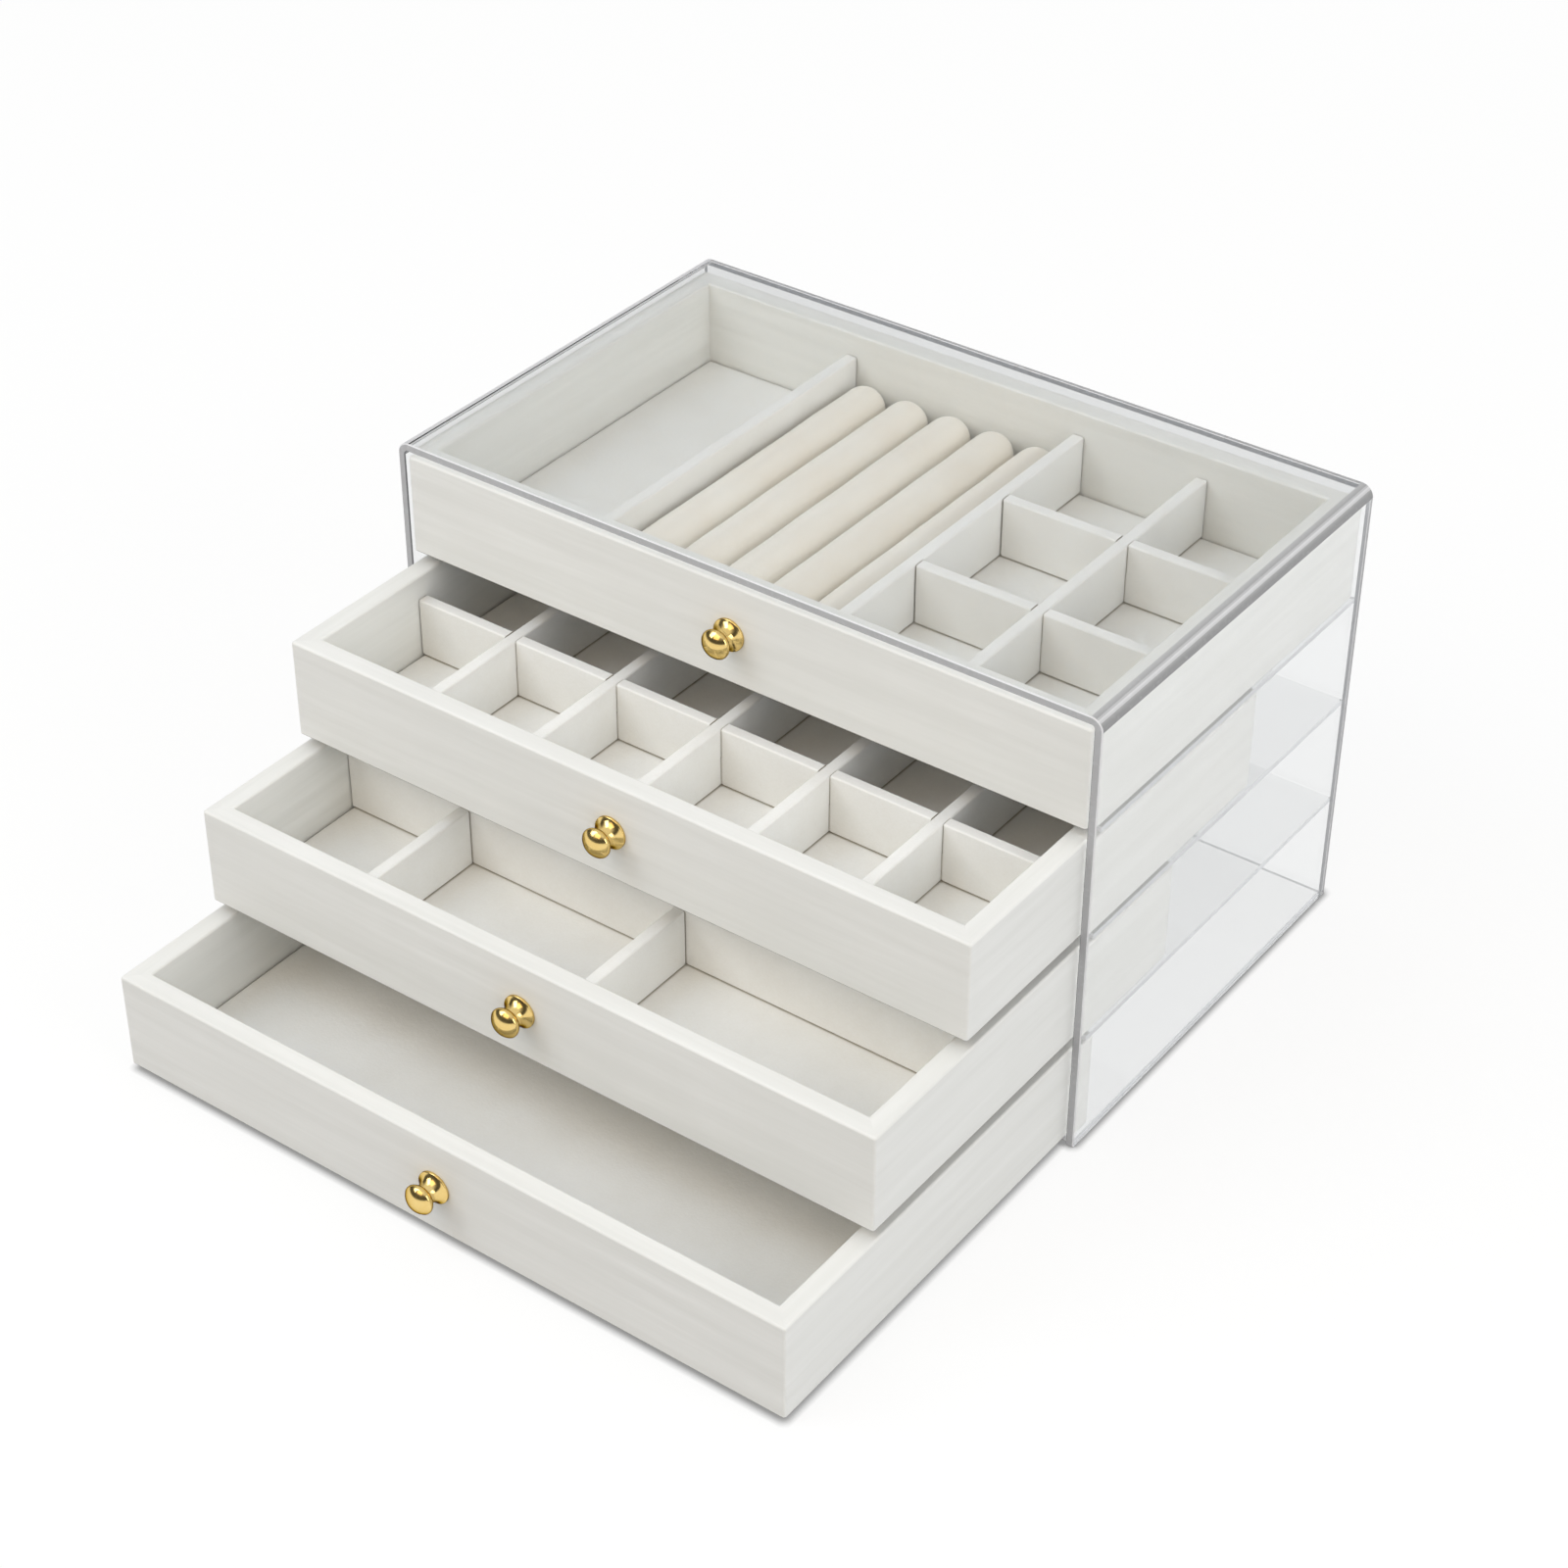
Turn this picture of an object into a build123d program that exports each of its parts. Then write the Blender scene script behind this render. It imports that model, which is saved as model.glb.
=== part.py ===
from build123d import *
import os

# Jewelry organizer: a clear acrylic case with four lined drawers, in millimetres
# The origin is the centre of the case underside, +X is right, +Y is the back and +Z is up

# Case
case_width = 280.0
case_depth = 170.0
case_height = 170.0
shell_sheet = 3.0
bend_inner_radius = 1.5
back_sheet = 3.0
back_corner_relief = 0.4
base_sheet = 2.0
base_setback = 1.2
shelf_sheet = 2.0
shelf_setback = 5.0
edge_break = 0.4

# Drawer boxes
drawer_side_gap = 0.8
drawer_lift = 0.2
drawer_head_gap = 2.2
drawer_back_gap = 0.8
drawer_inset = 0.5
wall = 7.5
rim_round = 0.9
foot_round = 0.6
corner_round = 1.0
floor_board = 4.0
floor_ledge = 3.5
floor_fit = 0.1
liner_thickness = 2.0
liner_gap = 0.5
liner_round = 0.6

# How much of a drawer stays in the case at full travel, and how far out each one stands
drawer_tail = 7.7
top_pull_share = 0.0
second_pull_share = 0.397
third_pull_share = 0.698
bottom_pull_share = 0.98

# Dividers
divider_thickness = 4.5
divider_height = 22.5
divider_round = 0.7
divider_foot_round = 0.8
divider_end_gap = 0.5
lap_gap = 0.2

# Top drawer layout
tray_width = 62.5
roll_count = 5
roll_diameter = 18.0
roll_gap = 0.3
roll_end_gap = 0.6
roll_end_round = 5.0
roll_flat = 0.5
grid_columns = 2
grid_rows = 3

# Second drawer layout
cell_columns = 6
cell_rows = 3

# Third drawer layout
bin_wall_height = 26.0
front_bin_depth = 54.0
left_bin_width = 51.0
middle_bin_width = 87.0

# Knob
knob_flange_diameter = 12.0
knob_flange_edge = 0.9
knob_neck_diameter = 6.6
knob_head_diameter = 11.0
knob_projection = 10.8
knob_head_length = 5.6
knob_edge_round = 0.3
knob_bore_diameter = 3.1
knob_bore_depth = 6.5
knob_head_round = 1.4
flare_out_share = 0.22
flare_along_share = 0.5
head_widest_share = 0.45
shoulder_out_share = 0.62
shoulder_along_share = 0.32

# Knob screw
screw_diameter = 3.0
screw_hole_diameter = 3.4
screw_grip = 5.5
screw_head_diameter = 5.6
screw_head_height = 1.8
screw_head_bevel = 0.5
screw_head_recess = 0.4
screw_head_gap = 0.3
screw_slot_width = 0.8
screw_slot_depth = 0.8

# How far cutting tools run past the face they cut
overrun = 1.0

# Sizes that follow
bay_count = 4
bay_height = (case_height - shell_sheet - base_sheet - (bay_count - 1) * shelf_sheet) / bay_count
bay_pitch = bay_height + shelf_sheet
bay_width = case_width - 2 * shell_sheet
bay_depth = case_depth - back_sheet
case_front = -case_depth / 2
drawer_width = bay_width - 2 * drawer_side_gap
drawer_height = bay_height - drawer_lift - drawer_head_gap
drawer_depth = bay_depth - drawer_inset - drawer_back_gap
inner_width = drawer_width - 2 * wall
inner_depth = drawer_depth - 2 * wall
inner_left = -inner_width / 2
inner_right = inner_width / 2
inner_back = drawer_depth - wall
lined_floor = floor_board + liner_thickness
knob_height = drawer_height / 2
screw_seat = wall - screw_head_height - screw_head_recess
drawer_travel = drawer_depth - drawer_tail
pulls = {
    "top": drawer_travel * top_pull_share,
    "second": drawer_travel * second_pull_share,
    "third": drawer_travel * third_pull_share,
    "bottom": drawer_travel * bottom_pull_share,
}

# Boxes stand on their own front edge, in the middle of their width
front_base = (Align.CENTER, Align.MIN, Align.MIN)
corner_base = (Align.MIN, Align.MIN, Align.MIN)
along_y = (90, 0, 0)


def arch(width, height, radius):
    """Upright outline with rounded top corners, standing on the origin."""
    outline = Rectangle(width, height, align=(Align.CENTER, Align.MIN))
    top_corners = outline.vertices().group_by(Axis.Y)[-1]
    return fillet(top_corners, radius)


def case_shell():
    """Top and both sides, bent from one clear sheet."""
    outer = arch(case_width, case_height, bend_inner_radius + shell_sheet)
    inner = arch(bay_width, case_height - shell_sheet, bend_inner_radius)
    rear = Plane.XZ.offset(-case_depth / 2)
    shell = extrude(rear * (outer - inner), amount=case_depth)
    ends = shell.faces().sort_by(Axis.Y)
    return chamfer(ends[0].edges() + ends[-1].edges(), edge_break)


def case_back():
    """Clear back panel, fitted inside the bent shell."""
    outline = arch(bay_width, case_height - shell_sheet, bend_inner_radius + back_corner_relief)
    rear = Plane.XZ.offset(-case_depth / 2)
    return extrude(rear * outline, amount=back_sheet)


def clear_panel(thickness, setback):
    """Level clear panel between the case sides, its front edge polished round."""
    panel = Box(bay_width, bay_depth - setback, thickness, align=front_base)
    front_edges = panel.edges().filter_by(Axis.X).group_by(Axis.Y)[0]
    return Pos(0, case_front + setback, 0) * chamfer(front_edges, edge_break)


def drawer_box():
    """All four drawer walls in one ring, with a rabbet below for the floor board."""
    outer = Box(drawer_width, drawer_depth, drawer_height, align=front_base)
    outer = fillet(outer.edges().filter_by(Axis.Z), corner_round)
    well = Box(inner_width, inner_depth, drawer_height + overrun, align=front_base)
    ring = outer - Pos(0, wall, 0) * well
    rabbet_width = inner_width + 2 * floor_ledge
    rabbet_depth = inner_depth + 2 * floor_ledge
    rabbet = Box(rabbet_width, rabbet_depth, floor_board + overrun, align=front_base)
    ring = ring - Pos(0, wall - floor_ledge, -overrun) * rabbet
    rim = ring.faces().sort_by(Axis.Z)[-1]
    ring = fillet(rim.edges(), rim_round)
    foot = ring.faces().sort_by(Axis.Z)[0]
    return fillet(foot.outer_wire().edges(), foot_round)


def knob_hole():
    """Stepped hole through the front board: the screw head sinks below its inner face."""
    hole = Cylinder(screw_hole_diameter / 2, wall + 2 * overrun, rotation=along_y)
    sink_length = wall - screw_seat + overrun
    sink = Cylinder(screw_head_diameter / 2 + screw_head_gap, sink_length, rotation=along_y)
    stepped = Pos(0, wall / 2, 0) * hole + Pos(0, screw_seat + sink_length / 2, 0) * sink
    return Pos(0, 0, knob_height) * stepped


def mitred_walls():
    """The ring cut through its corners into four boards, the front one drilled for its knob."""
    left = -drawer_width / 2
    right = drawer_width / 2
    outer = {
        "fl": (left - overrun, -overrun),
        "fr": (right + overrun, -overrun),
        "br": (right + overrun, drawer_depth + overrun),
        "bl": (left - overrun, drawer_depth + overrun),
    }
    inner = {
        "fl": (inner_left, wall),
        "fr": (inner_right, wall),
        "br": (inner_right, inner_back),
        "bl": (inner_left, inner_back),
    }
    sides = {
        "front": ("fl", "fr"),
        "right_side": ("fr", "br"),
        "back": ("br", "bl"),
        "left_side": ("bl", "fl"),
    }
    ring = drawer_box()
    boards = {}
    for name, (start, end) in sides.items():
        outline = Polygon(outer[start], outer[end], inner[end], inner[start], align=None)
        boards[name] = ring & extrude(outline, amount=drawer_height)
    boards["front"] = boards["front"] - knob_hole()
    return boards


def drawer_floor():
    """Floor board, let into the rabbet under the walls."""
    width = inner_width + 2 * (floor_ledge - floor_fit)
    depth = inner_depth + 2 * (floor_ledge - floor_fit)
    board = Box(width, depth, floor_board, align=front_base)
    return Pos(0, wall - floor_ledge + floor_fit, 0) * board


def drawer_liner():
    """Velvet-covered card that lies loose on the floor board."""
    width = inner_width - 2 * liner_gap
    depth = inner_depth - 2 * liner_gap
    card = Box(width, depth, liner_thickness, align=front_base)
    card = fillet(card.faces().sort_by(Axis.Z)[-1].edges(), liner_round)
    return Pos(0, wall + liner_gap, floor_board) * card


def knob():
    """Turned knob on the front face: flange, flared neck, domed head and a bore for its screw."""
    bore = knob_bore_diameter / 2
    flange = knob_flange_diameter / 2
    neck = knob_neck_diameter / 2
    head = knob_head_diameter / 2
    neck_end = knob_projection - knob_head_length
    widest = neck_end + knob_head_length * head_widest_share
    flare_x = neck + (flange - neck) * flare_out_share
    flare_y = knob_flange_edge + (neck_end - knob_flange_edge) * flare_along_share
    rim = (flange, -knob_flange_edge)
    foot = Polyline((bore, 0), (flange, 0), rim)
    flare = ThreePointArc(rim, (flare_x, -flare_y), (neck, -neck_end))
    shoulder_x = neck + (head - neck) * shoulder_out_share
    shoulder_y = neck_end + (widest - neck_end) * shoulder_along_share
    shoulder = ThreePointArc((neck, -neck_end), (shoulder_x, -shoulder_y), (head, -widest))
    dome_rise = knob_projection - widest
    dome_radius = (head**2 + dome_rise**2) / (2 * dome_rise)
    dome = RadiusArc((head, -widest), (0, -knob_projection), dome_radius)
    bottom = -knob_bore_depth
    socket = Polyline((0, -knob_projection), (0, bottom), (bore, bottom), (bore, 0))
    turned = revolve(make_face([foot, flare, shoulder, dome, socket]), Axis.Y)
    rings = turned.edges().filter_by(GeomType.CIRCLE).filter_by(lambda edge: edge.is_closed)
    turned = fillet(rings.group_by(SortBy.RADIUS)[-1], knob_edge_round)
    rings = turned.edges().filter_by(GeomType.CIRCLE).filter_by(lambda edge: edge.is_closed)
    widest_ring = rings.sort_by(lambda ring: abs(ring.center().Y + widest))[0]
    return Pos(0, 0, knob_height) * fillet(widest_ring, knob_head_round)


def knob_screw():
    """Slotted screw, sunk in the front board from inside and driven into the knob."""
    shank_length = screw_seat + screw_grip
    shank = Cylinder(screw_diameter / 2, shank_length, rotation=along_y)
    head = Cylinder(screw_head_diameter / 2, screw_head_height, rotation=along_y)
    head = chamfer(head.edges().group_by(Axis.Y)[-1], screw_head_bevel)
    slot = Box(screw_head_diameter + overrun, screw_slot_depth, screw_slot_width)
    head = head - Pos(0, (screw_head_height - screw_slot_depth) / 2, 0) * slot
    screw = Pos(0, screw_seat - shank_length / 2, 0) * shank
    screw = screw + Pos(0, screw_seat + screw_head_height / 2, 0) * head
    return Pos(0, 0, knob_height) * screw


def divider(length, height, slots, open_up):
    """Velvet-covered strip along +Y with eased edges, half-lapped at each slot."""
    strip = Box(divider_thickness, length, height, align=corner_base)
    top_edges = strip.edges().filter_by(Axis.Y).group_by(Axis.Z)[-1]
    strip = fillet(top_edges, divider_round)
    foot_edges = strip.edges().filter_by(Axis.Y).group_by(Axis.Z)[0]
    strip = fillet(foot_edges, divider_foot_round)
    slot_width = divider_thickness + 2 * lap_gap
    slot_depth = height / 2 + lap_gap
    slot = Box(divider_thickness + 2 * overrun, slot_width, slot_depth + overrun, align=corner_base)
    slot_base = height - slot_depth if open_up else -overrun
    for start in slots:
        strip = strip - Pos(-overrun, start - lap_gap, slot_base) * slot
    return strip


def lengthwise(x, front, back, slots=()):
    """Divider from front to back, its left face at x; the slots are measured from the drawer front."""
    start = front + divider_end_gap
    length = back - front - 2 * divider_end_gap
    strip = divider(length, divider_height, [y - start for y in slots], False)
    return Pos(x, start, lined_floor) * strip


def crosswise(y, left, right, slots=(), height=divider_height):
    """Divider from left to right, its front face at y; the slots are measured from the middle."""
    start = left + divider_end_gap
    length = right - left - 2 * divider_end_gap
    strip = divider(length, height, [x - start for x in slots], True)
    turned = Pos(0, divider_thickness, 0) * Rot(0, 0, -90) * strip
    return Pos(start, y, lined_floor) * turned


def divided(start, end, count):
    """Starts of the dividers that part a length into equal cells."""
    cell = (end - start - (count - 1) * divider_thickness) / count
    return [start + (i + 1) * cell + i * divider_thickness for i in range(count - 1)]


def ring_roll():
    """Soft roll along +Y with domed ends, its underside pressed flat on the liner."""
    length = inner_depth - 2 * roll_end_gap
    roll = Cylinder(roll_diameter / 2, length, rotation=along_y)
    roll = fillet(roll.edges().filter_by(GeomType.CIRCLE), roll_end_round)
    roll = Pos(0, length / 2, roll_diameter / 2 - roll_flat) * roll
    below = Box(roll_diameter + overrun, length + 2 * overrun, roll_diameter, align=front_base)
    return roll - Pos(0, -overrun, -roll_diameter) * below


def top_inserts():
    """Tray divider, ring rolls and a small grid."""
    parts = {}
    tray_right = inner_left + tray_width
    rolls_left = tray_right + divider_thickness
    rolls_right = rolls_left + roll_count * roll_diameter + (roll_count + 1) * roll_gap
    grid_left = rolls_right + divider_thickness
    rows = divided(wall, inner_back, grid_rows)
    middle = divided(grid_left, inner_right, grid_columns)
    parts["tray_divider"] = lengthwise(tray_right, wall, inner_back)
    for i in range(roll_count):
        x = rolls_left + roll_gap + roll_diameter / 2 + i * (roll_diameter + roll_gap)
        parts[f"ring_roll_{i + 1}"] = Pos(x, wall + roll_end_gap, lined_floor) * ring_roll()
    parts["grid_edge_divider"] = lengthwise(rolls_right, wall, inner_back)
    for i, x in enumerate(middle):
        parts[f"grid_column_divider_{i + 1}"] = lengthwise(x, wall, inner_back, rows)
    for i, y in enumerate(rows):
        parts[f"grid_row_divider_{i + 1}"] = crosswise(y, grid_left, inner_right, middle)
    return parts


def second_inserts():
    """Grid of equal cells, half-lapped where the dividers cross."""
    parts = {}
    columns = divided(inner_left, inner_right, cell_columns)
    rows = divided(wall, inner_back, cell_rows)
    for i, x in enumerate(columns):
        parts[f"cell_column_divider_{i + 1}"] = lengthwise(x, wall, inner_back, rows)
    for i, y in enumerate(rows):
        parts[f"cell_row_divider_{i + 1}"] = crosswise(y, inner_left, inner_right, columns)
    return parts


def third_inserts():
    """Cross divider with two short dividers in front of it."""
    bins_back = wall + front_bin_depth
    left = inner_left + left_bin_width
    right = left + divider_thickness + middle_bin_width
    return {
        "bin_cross_divider": crosswise(bins_back, inner_left, inner_right, height=bin_wall_height),
        "bin_left_divider": lengthwise(left, wall, bins_back),
        "bin_right_divider": lengthwise(right, wall, bins_back),
    }


def organizer():
    """Every piece in its place, by node name."""
    parts = {"case_shell": case_shell(), "case_back": case_back()}
    parts["case_base"] = clear_panel(base_sheet, base_setback)
    shelf = clear_panel(shelf_sheet, shelf_setback)
    for i, name in enumerate(["lower", "middle", "upper"]):
        parts[f"{name}_shelf"] = Pos(0, 0, base_sheet + i * bay_pitch + bay_height) * shelf
    box = mitred_walls()
    box["floor"] = drawer_floor()
    box["liner"] = drawer_liner()
    box["knob"] = knob()
    box["knob_screw"] = knob_screw()
    inserts = {"top": top_inserts(), "second": second_inserts(), "third": third_inserts(), "bottom": {}}
    for i, (drawer, pull) in enumerate(pulls.items()):
        bay_floor = base_sheet + (bay_count - 1 - i) * bay_pitch
        place = Pos(0, case_front + drawer_inset - pull, bay_floor + drawer_lift)
        for name, piece in box.items():
            parts[f"{drawer}_drawer_{name}"] = place * piece
        for name, piece in inserts[drawer].items():
            parts[name] = place * piece
    return parts


def main():
    os.makedirs("parts", exist_ok=True)
    for node, piece in organizer().items():
        export_step(piece, f"parts/{node}.step")


if __name__ == "__main__":
    main()
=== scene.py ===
import math

import bmesh
import bpy
from mathutils import Color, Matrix, Quaternion, Vector, noise


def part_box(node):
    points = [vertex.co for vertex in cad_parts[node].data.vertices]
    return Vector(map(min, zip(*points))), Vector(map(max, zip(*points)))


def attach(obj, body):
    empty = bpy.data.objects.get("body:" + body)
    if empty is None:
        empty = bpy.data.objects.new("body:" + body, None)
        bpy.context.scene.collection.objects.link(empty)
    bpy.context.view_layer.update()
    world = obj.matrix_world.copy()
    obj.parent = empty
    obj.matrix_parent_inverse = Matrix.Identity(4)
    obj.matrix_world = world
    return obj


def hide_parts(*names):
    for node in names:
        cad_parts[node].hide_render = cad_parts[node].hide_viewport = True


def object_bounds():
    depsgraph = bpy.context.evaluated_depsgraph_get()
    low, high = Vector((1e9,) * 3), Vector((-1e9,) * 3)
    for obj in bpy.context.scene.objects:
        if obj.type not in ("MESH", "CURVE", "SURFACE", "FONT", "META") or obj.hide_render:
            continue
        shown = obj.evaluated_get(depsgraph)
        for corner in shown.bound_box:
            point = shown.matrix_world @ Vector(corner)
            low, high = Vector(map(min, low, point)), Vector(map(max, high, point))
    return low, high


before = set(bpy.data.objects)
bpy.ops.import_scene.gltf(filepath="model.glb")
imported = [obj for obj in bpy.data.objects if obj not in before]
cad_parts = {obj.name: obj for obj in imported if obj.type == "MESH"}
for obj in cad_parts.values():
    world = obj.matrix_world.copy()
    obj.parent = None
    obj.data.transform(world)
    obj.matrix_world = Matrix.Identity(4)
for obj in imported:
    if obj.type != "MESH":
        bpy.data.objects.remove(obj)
cad_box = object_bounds()

# Looks of a jewelry organizer: a clear case, four painted drawers, velvet inserts and brass knobs
# Lengths are metres in the part's own frame, and light, deep, under, crease and rim are screen colours; the
# under, crease and rim colours are painted shade
# A noise is its features per metre, octaves and roughness, and a bump is its depth and strength
# A span is the two values that a mapping starts from, and noise_span holds most of any noise
MM = 0.001
screen_white = 255
noise_span = (0.3, 0.7)
drawers = ("top", "second", "third", "bottom")

# Camera, fitted to the case and drawer corners in the photograph
camera_place = Vector((0.53720, -0.78892, 0.72854))
camera_azimuth = math.radians(36.183)
camera_elevation = math.radians(35.933)
camera_roll = math.radians(0.173)
camera_lens = 75.504
camera_reach = 50.0

# Lamps: place, aim, side, watts, colour and whether mirrors show them
lamps = {
    "key": ((-1.05, -1.20, 1.35), (0.0, -0.08, 0.08), 0.80, 6.6, (1.0, 1.0, 1.0), True),
    "front": ((0.0, -1.45, 1.65), (0.0, -0.08, 0.05), 1.20, 6.3, (1.0, 0.74, 0.44), True),
    "top": ((-0.60, -0.80, 1.65), (0.0, -0.10, 0.05), 0.60, 3.6, (0.60, 0.80, 1.0), True),
    "right_fill": ((1.75, -0.15, 0.85), (0.0, -0.05, 0.08), 1.10, 10.8, (1.0, 1.0, 1.0), True),
    "back_fill": ((-0.55, 1.90, 0.45), (0.0, 0.08, 0.08), 1.20, 5.0, (1.0, 1.0, 1.0), False),
}

# Studio: light from all round, and what mirrors see as height above the horizon and brightness
ambient_level = 0.66
ambient_tint = (0.99, 1.0, 1.03)
studio_levels = ((0.0, 1.0), (0.06, 1.0), (0.14, 0.10), (0.42, 0.08), (0.60, 0.30), (0.80, 0.85))

# Floor paper, with a painted contact shadow where something stands on it
floor_reach = 6.0
floor_drop = 0.05 * MM
floor_albedo = 0.45
floor_shadow_share = 0.16
floor_glow = 0.84
floor_glow_tint = (1.0, 1.0, 0.995, 1.0)
tooth_noise = (900.0, 2.0, 0.55)
tooth_bump = (0.02 * MM, 0.1)
contact_shadow_reach = 3.2 * MM
contact_shadow_level = 0.25
contact_shadow_full = 0.45

# Painted boards: down-facing faces get a painted shade, whose span is in upward shares of the normal
paint_light = (246, 246, 242)
paint_deep = (233, 233, 228)
paint_underside_shade = (120, 116, 108)
paint_underside_shade_span = (-0.45, -0.05)
paint_least_share = 0.1
paint_roughness = (0.44, 0.56)
paint_specular = 0.4
grain_along = 9
grain_across = 190
grain_noise = (1.0, 5.0, 0.62)
grain_span = (0.36, 0.66)
grain_bump = (0.1 * MM, 0.25)
cloud_noise = (22.0, 2.0, 0.55)
peel_noise = (2600.0, 2.0, 0.55)
peel_bump = (0.03 * MM, 0.2)

# Hardboard floors
hardboard_light = (236, 235, 228)
hardboard_deep = (224, 222, 213)
hardboard_roughness = (0.5, 0.7)
fibre_noise = (420.0, 4.0, 0.6)
fibre_stretch = (1, 3, 1)
fibre_bump = (0.05 * MM, 0.3)
patch_noise = (40.0, 3.0, 0.55)

# Velvet: creases and inner corners get a painted shade, whose span is in open shares of a spot's surroundings
velvet_light = (247, 247, 244)
velvet_deep = (239, 238, 233)
velvet_crease_shade = (192, 186, 174)
cream_light = (248, 245, 236)
cream_deep = (243, 236, 223)
cream_crease_shade = (222, 212, 196)
crease_shade_reach = 1.2 * MM
crease_shade_span = (0.4, 0.8)
velvet_roughness = (0.82, 0.96)
velvet_specular = 0.15
sheen_weight = 0.35
sheen_roughness = 0.45
pile_noise = (1100.0, 3.0, 0.7)
pile_share = 1.1
pile_bump = (0.12 * MM, 0.5)
brushed_noise = (38.0, 3.0, 0.6)
brushed_shares = (-0.38, 0.27)
fluff_noise = (420.0, 2.0, 0.55)
fluff_bump = (0.2 * MM, 0.45)

# Brass knobs: the turning rate is in radians per metre of radius, and the rim colour is a painted dark
# reflection at grazing angles
brass_light = (246, 219, 150)
brass_deep = (232, 196, 116)
brass_rim_shade = (78, 50, 16)
brass_roughness = (0.10, 0.2)
turning_rate = 9000.0
turning_bump = (0.01 * MM, 0.06)
smear_noise = (240.0, 3.0, 0.55)

# Steel screws
steel_light = (200, 200, 198)
steel_deep = (168, 168, 166)
steel_roughness = (0.28, 0.45)
spangle_noise = (900.0, 3.0, 0.55)

# Clear acrylic
acrylic_ior = 1.49
acrylic_tint = (0.955, 0.96, 0.962, 1.0)
acrylic_roughness = (0.0, 0.03)
acrylic_shadow_tint = (0.98, 0.981, 0.982, 1.0)
acrylic_depth_tint = (0.80, 0.82, 0.84, 1.0)
acrylic_density = 3.0
wave_noise = (14.0, 1.0, 0.55)
wave_bump = (0.3 * MM, 0.06)
handling_noise = (60.0, 4.0, 0.55)

# Cut edges of the acrylic: limits and turns are shares of a normal along an axis; bevels carry painted light
# and shade by their turn, rear edges a painted shade and shelf edges a painted light
painted_bevel_light = (247, 247, 248)
painted_bevel_deep = (128, 129, 132)
# Shelf edge tones are a painted light, standing in for light piped along the sheets
shelf_edge_painted_light = (252, 252, 252)
shelf_edge_painted_deep = (244, 245, 246)
back_edge_light = (212, 213, 214)
back_edge_deep = (196, 197, 199)
edge_glow = 0.35
edge_limit = 0.75
bevel_turn = 0.35
rear_shade_depth = 0.35
sawn_noise = (700.0, 3.0, 0.55)
sawn_roughness = (0.2, 0.3)

# Bends of the shell: a painted highlight and shade, as an upward share of the normal and a screen level for
# each; the left bend is painted lighter
bend_limit = 0.998
bend_side_limit = 0.3
bend_painted_tones = (
    (0.0, 160), (0.36, 166), (0.50, 174), (0.62, 190), (0.72, 236),
    (0.84, 242), (0.90, 196), (0.95, 184), (1.0, 204),
)
left_bend_painted_light = (246, 246, 247)
left_bend_painted_share = 0.75

# Ring rolls
roll_slack = 0.7 * MM
roll_dome = 7.5 * MM
roll_sides = 28
roll_rings = 46
roll_ring_crowding = 0.13
roll_wobble = 0.25 * MM
roll_wobble_shift = 40
roll_pressure = 4.0
roll_stiffness = 12
roll_quality = 6
roll_frames = 20
roll_swell_cap = 0.9 * MM
roll_smoothing = 1

# Liner pads
pad_cell = 3.0 * MM
pad_edge = 2.2 * MM
pad_edge_shares = (0.0, 0.1, 0.3, 0.6)
pad_edge_drop = 0.55 * MM
pad_unevenness = 0.12 * MM
pad_wave = 28.0


def linear(screen):
    """Scene-linear RGBA of an 8-bit screen colour."""
    shares = Color([level / screen_white for level in screen])
    return (*shares.from_srgb_to_scene_linear(), 1.0)


def grey(level):
    """RGBA of a scene-linear grey."""
    return (level, level, level, 1.0)


# Material nodes


def new_material(name):
    """A material and its empty node tree."""
    material = bpy.data.materials.new(name)
    material.use_nodes = True
    material.node_tree.nodes.clear()
    return material, material.node_tree


def add(tree, kind, inputs=None, **settings):
    """A new node, with each input set to a value or linked to another node's output."""
    made = tree.nodes.new(kind)
    for name, value in settings.items():
        setattr(made, name, value)
    for name, value in (inputs or {}).items():
        if isinstance(value, bpy.types.NodeSocket):
            tree.links.new(value, made.inputs[name])
        else:
            made.inputs[name].default_value = value
    return made


def calculate(tree, operation, *values):
    """The result of a calculation with numbers and other nodes' outputs."""
    return add(tree, "ShaderNodeMath", dict(enumerate(values)), operation=operation).outputs[0]


def below(tree, value, limit):
    """1 where a value is below its limit."""
    return calculate(tree, "LESS_THAN", value, limit)


def both(tree, first, second):
    """The product of two values, which is 1 where two masks are both 1."""
    return calculate(tree, "MULTIPLY", first, second)


def either(tree, first, second):
    """The larger of two values, which is 1 where one of two masks is 1."""
    return calculate(tree, "MAXIMUM", first, second)


def part_place(tree, stretch=(1, 1, 1), offset=(0, 0, 0)):
    """Places on the part, in metres, stretched and then moved by an offset."""
    place = add(tree, "ShaderNodeTexCoord").outputs["Object"]
    moved = {"Vector": place, "Scale": stretch, "Location": offset}
    return add(tree, "ShaderNodeMapping", moved).outputs["Vector"]


def front_place(tree, x, z):
    """Places on the part as seen from the front, measured from a point."""
    return part_place(tree, (1, 0, 1), (-x, 0, -z))


def normal_parts(tree, kind):
    """X, Y and Z of a surface's Normal, or of its face's True Normal."""
    normal = add(tree, "ShaderNodeNewGeometry").outputs[kind]
    return add(tree, "ShaderNodeSeparateXYZ", {"Vector": normal}).outputs


def openness(tree, reach):
    """1 where a surface is open, and less where another is within reach."""
    return add(tree, "ShaderNodeAmbientOcclusion", {"Distance": reach}).outputs["AO"]


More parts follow.
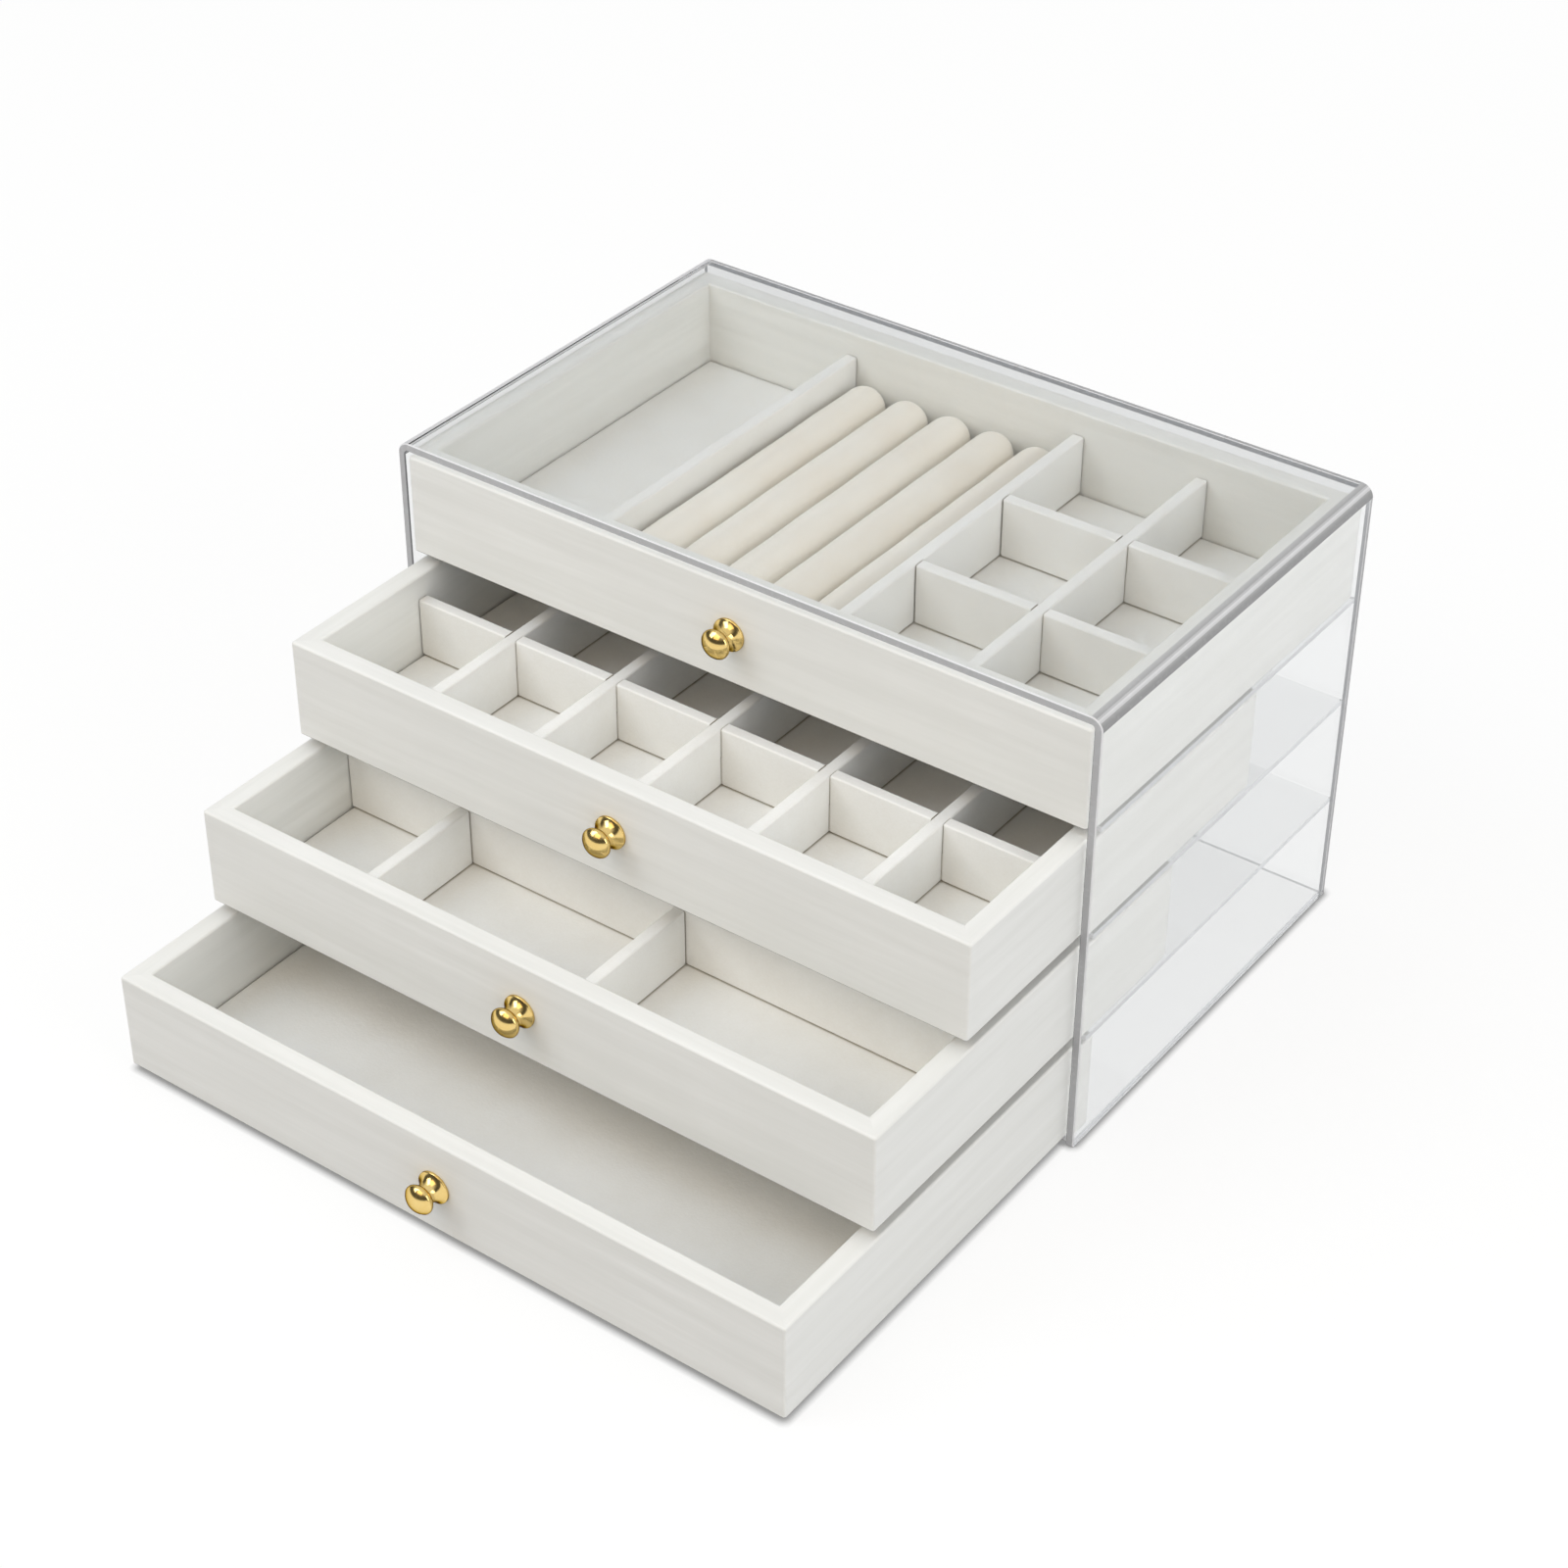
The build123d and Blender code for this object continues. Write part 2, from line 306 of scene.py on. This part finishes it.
def noise_of(tree, kind, stretch=(1, 1, 1)):
    """Smooth noise over the part, from 0 to 1."""
    scale, detail, rough = kind
    wanted = {"Vector": part_place(tree, stretch), "Scale": scale, "Detail": detail, "Roughness": rough}
    return add(tree, "ShaderNodeTexNoise", wanted).outputs["Fac"]


def spread(tree, value, ends, span=noise_span):
    """A value within a span, spread from one end to the other."""
    wanted = {"Value": value, "From Min": span[0], "From Max": span[1], "To Min": ends[0], "To Max": ends[1]}
    return add(tree, "ShaderNodeMapRange", wanted).outputs["Result"]


def blend(tree, share, first, second):
    """A colour between two others, by the numbers of the Mix node's colour sockets."""
    return add(tree, "ShaderNodeMix", {0: share, 6: first, 7: second}, data_type="RGBA").outputs[2]


def two_tone(tree, share, deep, light):
    """A colour between two screen colours."""
    return blend(tree, share, linear(deep), linear(light))


def graded(tree, value, stops):
    """A colour that follows a value through several stops: a value and a linear colour for each."""
    ramp = add(tree, "ShaderNodeValToRGB", {"Fac": value})
    made = ramp.color_ramp.elements
    for place, _ in stops[2:]:
        made.new(place)
    for stop, (place, colour) in zip(made, stops):
        stop.position = place
        stop.color = colour
    return ramp.outputs["Color"]


def relief(tree, *layers):
    """Stacked bumps: a height and its bump for each."""
    normal = None
    for height, (depth, strength) in layers:
        wanted = {"Height": height, "Distance": depth, "Strength": strength}
        if normal is not None:
            wanted["Normal"] = normal
        normal = add(tree, "ShaderNodeBump", wanted).outputs["Normal"]
    return normal


def mix_shaders(tree, share, first, second):
    """A shader between two others."""
    return add(tree, "ShaderNodeMixShader", {0: share, 1: first, 2: second}).outputs[0]


# Wood, cloth and metal


def painted_board(name, grain):
    """Satin paint on wood: the grain runs long and faint under it, and down-facing faces get a painted shade.
    """
    material, tree = new_material(name)
    streaks = noise_of(tree, grain_noise, grain)
    clouds = noise_of(tree, cloud_noise)
    peel = noise_of(tree, peel_noise)
    tone = spread(tree, streaks, (0.0, 1.0), grain_span)
    shade = calculate(tree, "MULTIPLY_ADD", tone, clouds, paint_least_share)
    paint = two_tone(tree, shade, paint_deep, paint_light)
    # Painted shade: faces that turn downwards are blended towards a dark tone, darkest on undersides
    under = spread(tree, normal_parts(tree, "Normal")["Z"], (1.0, 0.0), paint_underside_shade_span)
    shader = add(tree, "ShaderNodeBsdfPrincipled", {
        "Base Color": blend(tree, under, paint, linear(paint_underside_shade)),
        "Roughness": spread(tree, clouds, paint_roughness),
        "Specular IOR Level": paint_specular,
        "Normal": relief(tree, (streaks, grain_bump), (peel, peel_bump)),
    })
    add(tree, "ShaderNodeOutputMaterial", {"Surface": shader.outputs["BSDF"]})
    return material


def hardboard(name):
    """White-faced hardboard: short fibres, most of them across the drawer."""
    material, tree = new_material(name)
    fibres = noise_of(tree, fibre_noise, fibre_stretch)
    patches = noise_of(tree, patch_noise)
    shader = add(tree, "ShaderNodeBsdfPrincipled", {
        "Base Color": two_tone(tree, patches, hardboard_deep, hardboard_light),
        "Roughness": spread(tree, fibres, hardboard_roughness),
        "Normal": relief(tree, (fibres, fibre_bump)),
    })
    add(tree, "ShaderNodeOutputMaterial", {"Surface": shader.outputs["BSDF"]})
    return material


def velvet(name, deep, light, crease_shade):
    """Short pile: brushed patches, fine fibres, a soft sheen and a painted shade in inner corners and
    creases.
    """
    material, tree = new_material(name)
    brushed = noise_of(tree, brushed_noise)
    pile = noise_of(tree, pile_noise)
    fluff = noise_of(tree, fluff_noise)
    fleck = calculate(tree, "MULTIPLY_ADD", pile, pile_share, spread(tree, brushed, brushed_shares))
    cloth = two_tone(tree, fleck, deep, light)
    # Painted shade: where other surfaces are close, the cloth is blended towards a dark crease tone
    crease_unshaded_share = spread(tree, openness(tree, crease_shade_reach), (0.0, 1.0), crease_shade_span)
    shader = add(tree, "ShaderNodeBsdfPrincipled", {
        "Base Color": blend(tree, crease_unshaded_share, linear(crease_shade), cloth),
        "Roughness": spread(tree, pile, velvet_roughness),
        "Specular IOR Level": velvet_specular,
        "Sheen Weight": sheen_weight,
        "Sheen Roughness": sheen_roughness,
        "Normal": relief(tree, (fluff, fluff_bump), (pile, pile_bump)),
    })
    add(tree, "ShaderNodeOutputMaterial", {"Surface": shader.outputs["BSDF"]})
    return material


def turned_brass(name, centre):
    """Polished brass with faint turning rings about the knob's own axis, and a dark edge tint that paints a
    dark reflection round its rims.
    """
    material, tree = new_material(name)
    spoke = front_place(tree, centre.x, centre.z)
    radius = add(tree, "ShaderNodeVectorMath", {0: spoke}, operation="LENGTH").outputs["Value"]
    rings = calculate(tree, "SINE", calculate(tree, "MULTIPLY", radius, turning_rate))
    smear = noise_of(tree, smear_noise)
    shader = add(tree, "ShaderNodeBsdfPrincipled", {
        "Base Color": two_tone(tree, smear, brass_deep, brass_light),
        # Painted reflection: a dark edge tint darkens the brass at grazing angles
        "Specular Tint": linear(brass_rim_shade),
        "Metallic": 1.0,
        "Roughness": spread(tree, smear, brass_roughness),
        "Normal": relief(tree, (rings, turning_bump)),
    })
    add(tree, "ShaderNodeOutputMaterial", {"Surface": shader.outputs["BSDF"]})
    return material


def plated_steel(name):
    """Dull zinc-plated steel."""
    material, tree = new_material(name)
    spangle = noise_of(tree, spangle_noise)
    shader = add(tree, "ShaderNodeBsdfPrincipled", {
        "Base Color": two_tone(tree, spangle, steel_deep, steel_light),
        "Metallic": 1.0,
        "Roughness": spread(tree, spangle, steel_roughness),
    })
    add(tree, "ShaderNodeOutputMaterial", {"Surface": shader.outputs["BSDF"]})
    return material


# Clear acrylic


def looking(tree, axes):
    """How squarely a face looks along the nearest of the given axes, from 0 to 1."""
    parts = normal_parts(tree, "True Normal")
    nearest = 0.0
    for axis in axes:
        nearest = either(tree, calculate(tree, "ABSOLUTE", parts[axis]), nearest)
    return nearest


def shell_edges(tree):
    """1 on the bent shell's cut edges and round its bends."""
    squarely = looking(tree, "XZ")
    bend = both(tree, below(tree, squarely, bend_limit), below(tree, looking(tree, "Y"), bend_side_limit))
    return either(tree, below(tree, squarely, edge_limit), bend)


def back_edges(tree):
    """1 on the edges of the back panel."""
    return below(tree, looking(tree, "Y"), edge_limit)


def level_edges(tree):
    """1 on the edges of a level sheet."""
    return below(tree, looking(tree, "Z"), edge_limit)


def level_joints(tree):
    """1 on the rear edge of a level sheet, cemented to the back panel."""
    place = add(tree, "ShaderNodeSeparateXYZ", {"Vector": part_place(tree)}).outputs
    rear = calculate(tree, "GREATER_THAN", place["Y"], 0.0)
    return both(tree, rear, below(tree, looking(tree, "XZ"), edge_limit))


def nowhere(tree):
    """0 all over a sheet."""
    return add(tree, "ShaderNodeValue").outputs[0]


def bevel_turns(tree, backward):
    """How far an edge's bevel turns outwards in front and inwards at the back, which sets its painted light
    and shade.
    """
    middle_height = (cad_box[0][2] + cad_box[1][2]) / 2
    spoke = front_place(tree, 0, middle_height)
    outward = add(tree, "ShaderNodeVectorMath", {0: spoke}, operation="NORMALIZE").outputs["Vector"]
    normal = add(tree, "ShaderNodeNewGeometry").outputs["True Normal"]
    turned = add(tree, "ShaderNodeVectorMath", {0: normal, 1: outward}, operation="DOT_PRODUCT")
    side = spread(tree, backward, (1.0, -1.0), (-bend_side_limit, bend_side_limit))
    return both(tree, turned.outputs["Value"], side)


def shell_tone(tree):
    """Colour of the shell's edges: painted light and shade on the bevels, painted shade on the rear edges and
    a painted highlight and shade graded round the bends.
    """
    parts = normal_parts(tree, "True Normal")
    # Painted shade on rear-facing edges, and painted light and shade on the bevels by their turn
    rear = spread(tree, parts["Y"], (0.0, -rear_shade_depth), (edge_limit, 1.0))
    painted_light_share = calculate(tree, "ADD", bevel_turns(tree, parts["Y"]), rear)
    cut = two_tone(tree, spread(tree, painted_light_share, (0.0, 1.0), (-bevel_turn, bevel_turn)), painted_bevel_deep, painted_bevel_light)
    # Painted highlight and shade graded round the bends, with the left bend painted lighter
    stops = [(share, linear((level,) * 3)) for share, level in bend_painted_tones]
    left_painted_share = both(tree, below(tree, parts["X"], 0.0), left_bend_painted_share)
    bend = blend(tree, left_painted_share, graded(tree, looking(tree, "Z"), stops), linear(left_bend_painted_light))
    return blend(tree, below(tree, looking(tree, "Y"), bend_side_limit), cut, bend)


def level_tone(tree):
    """Colour of a level sheet's edges: a painted light that stands in for the light they pipe."""
    return two_tone(tree, noise_of(tree, sawn_noise), shelf_edge_painted_deep, shelf_edge_painted_light)


def back_tone(tree):
    """Colour of the back panel's edges."""
    return two_tone(tree, noise_of(tree, sawn_noise), back_edge_deep, back_edge_light)


def clear_acrylic(name, edges, joints, tone):
    """Cast acrylic sheet: clear faces that let the lamps through, edges toned partly with painted light and
    shade, and clear joints.
    """
    material, tree = new_material(name)
    waves = noise_of(tree, wave_noise)
    handling = noise_of(tree, handling_noise)
    sawn = noise_of(tree, sawn_noise)
    clear = add(tree, "ShaderNodeBsdfPrincipled", {
        "Base Color": acrylic_tint,
        "Roughness": spread(tree, handling, acrylic_roughness),
        "IOR": acrylic_ior,
        "Transmission Weight": 1.0,
        "Normal": relief(tree, (waves, wave_bump)),
    })
    colour = tone(tree)
    cut = add(tree, "ShaderNodeBsdfPrincipled", {
        "Base Color": colour,
        "Roughness": spread(tree, sawn, sawn_roughness),
        "IOR": acrylic_ior,
    })
    glow = add(tree, "ShaderNodeBsdfTranslucent", {"Color": colour})
    edge = mix_shaders(tree, edge_glow, cut.outputs[0], glow.outputs[0])
    sheet = mix_shaders(tree, edges(tree), clear.outputs[0], edge)
    shadow = add(tree, "ShaderNodeLightPath").outputs["Is Shadow Ray"]
    open_way = add(tree, "ShaderNodeBsdfTransparent", {"Color": acrylic_shadow_tint})
    surface = mix_shaders(tree, either(tree, shadow, joints(tree)), sheet, open_way.outputs[0])
    depth = add(tree, "ShaderNodeVolumeAbsorption", {"Color": acrylic_depth_tint, "Density": acrylic_density})
    add(tree, "ShaderNodeOutputMaterial", {"Surface": surface, "Volume": depth.outputs[0]})
    return material


# Stage


def mirrored_rays(tree):
    """1 for rays that a mirror or the acrylic sends on from the eye, before any dull surface."""
    path = add(tree, "ShaderNodeLightPath").outputs
    sent_on = either(tree, path["Is Glossy Ray"], path["Is Transmission Ray"])
    return both(tree, sent_on, below(tree, path["Diffuse Depth"], 1))


def floor_paper(name):
    """White paper that shows the object's shadow, adds a painted contact shadow close to it, and otherwise
    reads as white.
    """
    material, tree = new_material(name)
    tooth = noise_of(tree, tooth_noise)
    bounce = add(tree, "ShaderNodeBsdfDiffuse", {"Color": grey(floor_albedo)})
    shaded = add(tree, "ShaderNodeBsdfDiffuse", {
        "Color": grey(floor_shadow_share),
        "Normal": relief(tree, (tooth, tooth_bump)),
    })
    camera = add(tree, "ShaderNodeLightPath").outputs["Is Camera Ray"]
    # Painted contact shadow: the floor's glow dims where the object is within reach
    closeness = calculate(tree, "SUBTRACT", 1.0, openness(tree, contact_shadow_reach))
    glow_ends = (floor_glow, contact_shadow_level * floor_glow)
    strength = spread(tree, both(tree, closeness, camera), glow_ends, (0.0, contact_shadow_full))
    glow = add(tree, "ShaderNodeEmission", {"Color": floor_glow_tint, "Strength": strength})
    shown = add(tree, "ShaderNodeAddShader", {0: shaded.outputs[0], 1: glow.outputs[0]})
    seen = either(tree, camera, mirrored_rays(tree))
    surface = mix_shaders(tree, seen, bounce.outputs[0], shown.outputs[0])
    add(tree, "ShaderNodeOutputMaterial", {"Surface": surface})
    return material


def mesh_of(name, shape):
    """A new mesh from a finished shape."""
    mesh = bpy.data.meshes.new(name)
    shape.to_mesh(mesh)
    shape.free()
    return mesh


def make_floor():
    """A wide sheet of paper under the object."""
    sheet = bmesh.new()
    bmesh.ops.create_grid(sheet, x_segments=2, y_segments=2, size=floor_reach)
    mesh = mesh_of("floor", sheet)
    mesh.materials.append(floor_paper("floor_paper"))
    piece = bpy.data.objects.new("floor", mesh)
    bpy.context.scene.collection.objects.link(piece)
    piece.location.z = cad_box[0][2] - floor_drop


def studio_glow(tree):
    """Brightness of the studio round the object: a white sweep, dark walls and a light ceiling."""
    direction = add(tree, "ShaderNodeTexCoord").outputs["Generated"]
    height = add(tree, "ShaderNodeSeparateXYZ", {"Vector": direction}).outputs["Z"]
    return graded(tree, height, [(place, grey(level)) for place, level in studio_levels])


def make_world():
    """Even ambient light, the studio in mirrors and a background that goes on from the floor."""
    world = bpy.data.worlds.new("studio")
    world.use_nodes = True
    tree = world.node_tree
    tree.nodes.clear()
    ambient = tuple(ambient_level * share for share in ambient_tint) + (1.0,)
    around = blend(tree, mirrored_rays(tree), ambient, studio_glow(tree))
    camera = add(tree, "ShaderNodeLightPath").outputs["Is Camera Ray"]
    distance = grey(floor_glow + floor_shadow_share * ambient_level)
    sky = add(tree, "ShaderNodeBackground", {"Color": blend(tree, camera, around, distance)})
    add(tree, "ShaderNodeOutputWorld", {"Surface": sky.outputs[0]})
    bpy.context.scene.world = world


def make_lamp(name, place, aim, side, watts, colour, mirrored):
    """A square softbox turned to its aim."""
    lamp = bpy.data.lights.new(name, "AREA")
    lamp.shape = "SQUARE"
    lamp.size = side
    lamp.energy = watts
    lamp.color = colour
    piece = bpy.data.objects.new(name, lamp)
    piece.visible_glossy = mirrored
    piece.location = place
    direction = Vector(aim) - Vector(place)
    piece.rotation_euler = direction.to_track_quat("-Z", "Y").to_euler()
    bpy.context.scene.collection.objects.link(piece)


def make_camera():
    """The photograph's view."""
    flat = math.cos(camera_elevation)
    direction = Vector((
        -math.sin(camera_azimuth) * flat,
        math.cos(camera_azimuth) * flat,
        -math.sin(camera_elevation),
    ))
    camera = bpy.data.cameras.new("camera")
    camera.lens = camera_lens
    camera.clip_end = camera_reach
    piece = bpy.data.objects.new("camera", camera)
    piece.location = camera_place
    level = direction.to_track_quat("-Z", "Y")
    piece.rotation_euler = (level @ Quaternion((0, 0, 1), camera_roll)).to_euler()
    bpy.context.scene.collection.objects.link(piece)
    bpy.context.scene.camera = piece


# Soft pieces


def add_piece(mesh, material):
    """A smooth new piece with one material, named as its mesh is."""
    mesh.materials.append(material)
    piece = bpy.data.objects.new(mesh.name, mesh)
    bpy.context.scene.collection.objects.link(piece)
    mesh.shade_smooth()
    return piece


def roll_axis(low, high):
    """X and Z of a roll's axis and the radius of its space."""
    radius = (high.x - low.x) / 2
    return (low.x + high.x) / 2, high.z - radius, radius


def roll_outline(along, length, radius):
    """Radius of a roll at a distance along it, closing in a dome at both ends."""
    from_end = min(along, length - along)
    if from_end >= roll_dome:
        return radius
    return radius * math.sqrt(max(0.0, 1 - (1 - from_end / roll_dome) ** 2))


def ring_stations(length):
    """Distances along a roll, closer together in its domed ends."""
    stations = []
    for number in range(1, roll_rings):
        share = number / roll_rings
        stations.append(length * (share - math.sin(2 * math.pi * share) * roll_ring_crowding))
    return stations


def roll_mesh(name, low, high):
    """A closed roll along Y, a little slimmer than its space, flat where it lies on the liner."""
    axis_x, axis_z, full_radius = roll_axis(low, high)
    radius = full_radius - roll_slack
    start = low.y + roll_slack
    length = high.y - low.y - 2 * roll_slack
    shape = bmesh.new()
    rings = []
    for along in ring_stations(length):
        ring = []
        for side in range(roll_sides):
            turn = 2 * math.pi * side / roll_sides
            spot = Vector((math.cos(turn), along / (2 * full_radius), math.sin(turn)))
            uneven = noise.noise(spot + low * roll_wobble_shift) * roll_wobble
            reach = roll_outline(along, length, radius) + uneven * min(1, along / roll_dome)
            ring.append(shape.verts.new((
                axis_x + reach * math.cos(turn),
                start + along,
                max(axis_z + reach * math.sin(turn), low.z),
            )))
        rings.append(ring)
    for near, far in zip(rings, rings[1:]):
        for side in range(roll_sides):
            after = (side + 1) % roll_sides
            shape.faces.new((near[side], far[side], far[after], near[after]))
    for ring, tip_y in ((rings[0], start), (rings[-1], start + length)):
        tip = shape.verts.new((axis_x, tip_y, axis_z))
        for side in range(roll_sides):
            shape.faces.new((ring[side], ring[(side + 1) % roll_sides], tip))
    bmesh.ops.recalc_face_normals(shape, faces=shape.faces)
    return mesh_of(name, shape)


def plump(piece, low, high):
    """Swells a roll by cloth pressure and keeps the result inside its own space."""
    cloth = piece.modifiers.new("plump", "CLOTH")
    cloth.settings.quality = roll_quality
    cloth.settings.tension_stiffness = roll_stiffness
    cloth.settings.compression_stiffness = roll_stiffness
    cloth.settings.use_pressure = True
    cloth.settings.uniform_pressure_force = roll_pressure
    cloth.settings.effector_weights.gravity = 0
    scene = bpy.context.scene
    for number in range(1, roll_frames + 1):
        scene.frame_set(number)
    ready = piece.evaluated_get(bpy.context.evaluated_depsgraph_get())
    swollen = [vertex.co.copy() for vertex in ready.data.vertices]
    axis_x, axis_z, full_radius = roll_axis(low, high)
    for vertex, moved in zip(piece.data.vertices, swollen):
        step = moved - vertex.co
        step.length = min(step.length, roll_swell_cap)
        spot = vertex.co + step
        across = Vector((spot.x - axis_x, 0, spot.z - axis_z))
        across.length = min(across.length, full_radius)
        spot.x = axis_x + across.x
        spot.y = min(max(spot.y, low.y), high.y)
        spot.z = max(axis_z + across.z, low.z)
        vertex.co = spot
    piece.modifiers.remove(cloth)
    scene.frame_set(1)


def make_rolls(material):
    """The five stuffed rolls of the ring tray."""
    numbered = sorted(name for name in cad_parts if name.startswith("ring_roll_"))
    for node in numbered:
        low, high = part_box(node)
        piece = add_piece(roll_mesh("velvet_" + node, low, high), material)
        plump(piece, low, high)
        smooth = piece.modifiers.new("smooth", "SUBSURF")
        smooth.levels = roll_smoothing
        smooth.render_levels = roll_smoothing
        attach(piece, "top_drawer")
        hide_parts(node)


def pad_height(spot, low, high):
    """Top of a liner pad: rolled edges and a faint unevenness below its highest plane."""
    from_edge = min(spot.x - low.x, high.x - spot.x, spot.y - low.y, high.y - spot.y)
    bend = max(0.0, 1 - from_edge / pad_edge)
    drop = pad_edge_drop * (1 - math.sqrt(1 - min(1.0, bend) ** 2))
    uneven = (1 + noise.noise(spot * pad_wave)) / 2 * pad_unevenness
    return high.z - drop - uneven


def pad_lines(start, end):
    """Evenly spaced grid lines, with close ones in the rolled edges."""
    flat = end - start - 2 * pad_edge
    count = max(2, round(flat / pad_cell))
    inner = [start + pad_edge + flat * step / count for step in range(count + 1)]
    rolled = [pad_edge * share for share in pad_edge_shares]
    near = [start + step for step in rolled]
    far = [end - step for step in reversed(rolled)]
    return near + inner + far


def pad_mesh(name, low, high):
    """A thin closed pad with rolled edges."""
    shape = bmesh.new()
    columns = pad_lines(low.x, high.x)
    rows = pad_lines(low.y, high.y)
    top = []
    for y in rows:
        line = []
        for x in columns:
            spot = Vector((x, y, 0))
            spot.z = pad_height(spot, low, high)
            line.append(shape.verts.new(spot))
        top.append(line)
    for near, far in zip(top, top[1:]):
        for column in range(len(columns) - 1):
            shape.faces.new((near[column], near[column + 1], far[column + 1], far[column]))
    rim = [edge for edge in shape.edges if edge.is_boundary]
    grown = bmesh.ops.extrude_edge_only(shape, edges=rim)["geom"]
    foot = [item for item in grown if isinstance(item, bmesh.types.BMVert)]
    for corner in foot:
        corner.co.z = low.z
    base = [item for item in grown if isinstance(item, bmesh.types.BMEdge)]
    bmesh.ops.contextual_create(shape, geom=base)
    bmesh.ops.recalc_face_normals(shape, faces=shape.faces)
    return mesh_of(name, shape)


def make_liners(material):
    """The velvet pad on each drawer's floor."""
    for drawer in drawers:
        node = drawer + "_drawer_liner"
        low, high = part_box(node)
        piece = add_piece(pad_mesh("velvet_" + node, low, high), material)
        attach(piece, drawer + "_drawer")
        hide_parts(node)


# Finishes of the CAD pieces


def dress(node, material):
    """One finish over a whole CAD piece."""
    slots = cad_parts[node].data.materials
    slots.clear()
    slots.append(material)


def dress_case():
    """Each acrylic sheet, with its own edges and joints."""
    dress("case_shell", clear_acrylic("acrylic_shell", shell_edges, nowhere, shell_tone))
    dress("case_back", clear_acrylic("acrylic_back", back_edges, nowhere, back_tone))
    level = clear_acrylic("acrylic_level", level_edges, level_joints, level_tone)
    for node in ("case_base", "lower_shelf", "middle_shelf", "upper_shelf"):
        dress(node, level)


def dress_drawers():
    """Boards with their grain along each board, floors, knobs and screws."""
    along_x = painted_board("painted_board_x", (grain_along, grain_across, grain_across))
    along_y = painted_board("painted_board_y", (grain_across, grain_along, grain_across))
    floor = hardboard("hardboard")
    steel = plated_steel("plated_steel")
    for drawer in drawers:
        name = drawer + "_drawer_"
        for board in ("front", "back"):
            dress(name + board, along_x)
        for board in ("left_side", "right_side"):
            dress(name + board, along_y)
        dress(name + "floor", floor)
        dress(name + "knob_screw", steel)
        low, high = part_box(name + "knob")
        dress(name + "knob", turned_brass(drawer + "_brass", (low + high) / 2))


def dress_dividers(material):
    """One cloth over every divider."""
    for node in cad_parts:
        if "divider" in node:
            dress(node, material)


make_world()
make_floor()
for lamp_name, lamp_setting in lamps.items():
    make_lamp(lamp_name, *lamp_setting)
make_camera()
white_velvet = velvet("white_velvet", velvet_deep, velvet_light, velvet_crease_shade)
cream_velvet = velvet("cream_velvet", cream_deep, cream_light, cream_crease_shade)
dress_case()
dress_drawers()
dress_dividers(white_velvet)
make_liners(white_velvet)
make_rolls(cream_velvet)
bpy.context.scene.view_settings.view_transform = "Standard"
